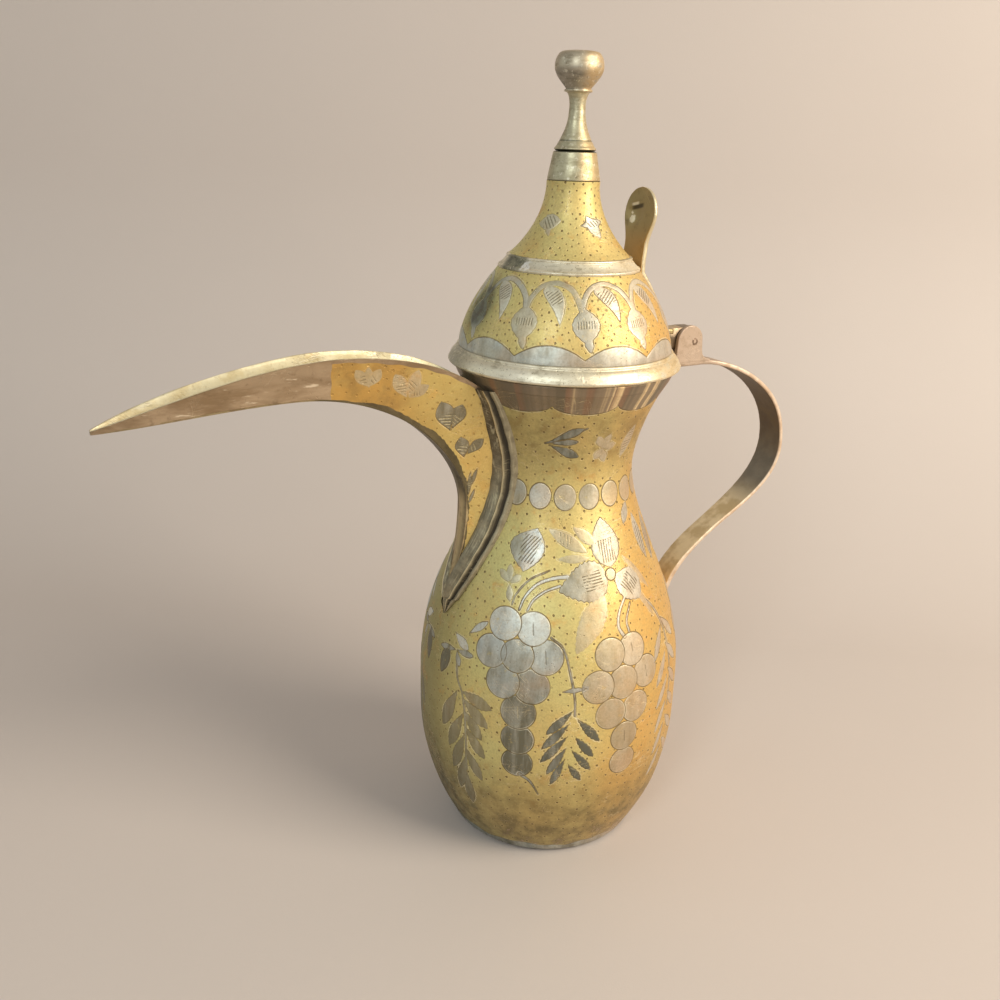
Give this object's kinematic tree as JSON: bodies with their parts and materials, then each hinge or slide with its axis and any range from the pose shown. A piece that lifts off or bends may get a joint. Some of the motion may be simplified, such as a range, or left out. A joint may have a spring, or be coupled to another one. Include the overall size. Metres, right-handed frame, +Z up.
{
  "type": "coffee pot",
  "caption": "Tall pear-shaped metal coffee pot with a long curved open beak, a strap handle and a hinged domed lid with a turned finial.",
  "frame": {"origin": "middle of the base plate's underside, on the axis of the body", "axes": "+Z up along the body's axis, -X out along the spout, +X towards the handle and hinge, Y across the pot along the hinge pin"},
  "size_m": [0.2791, 0.1064, 0.2998],
  "materials": {
    "lacquered_brass": "yellow lacquer over engraved brass, worn",
    "silvered_brass": "silvered, satin, worn",
    "bare_brass": "bare, tarnished to a pinkish brown",
    "dark_brass": "antique, darkened in the hollows",
    "olive_brass": "olive-toned brass, satin"
  },
  "bodies": {
    "pot": {"base_plate": "bare_brass", "body_shell": "lacquered_brass", "mouth_ring": "silvered_brass", "spout_cheek_left": "lacquered_brass", "spout_cheek_right": "lacquered_brass", "spout_keel": "dark_brass", "spout_frame_left": "dark_brass", "spout_frame_right": "dark_brass", "handle_strap": "bare_brass", "handle_foot_rivets": "bare_brass", "neck_rivets": "bare_brass", "hinge_bracket": "bare_brass", "hinge_pin": "silvered_brass"},
    "lid": {"lid_collar": "silvered_brass", "lid_rim": "silvered_brass", "lid_dome": "lacquered_brass", "lid_band": "silvered_brass", "lid_cone": "lacquered_brass", "lid_ferrule": "silvered_brass", "finial": "silvered_brass", "finial_rod": "olive_brass", "finial_nut": "olive_brass", "finial_washer": "olive_brass", "lid_leaf": "olive_brass", "leaf_rivets": "bare_brass"}
  },
  "joints": [
    {"name": "lid_hinge", "type": "hinge", "parent": "pot", "child": "lid", "pos_m": [0.0576, 0, 0.1977], "axis": [0, 1, 0], "range_deg": [0, 110]}
  ]
}
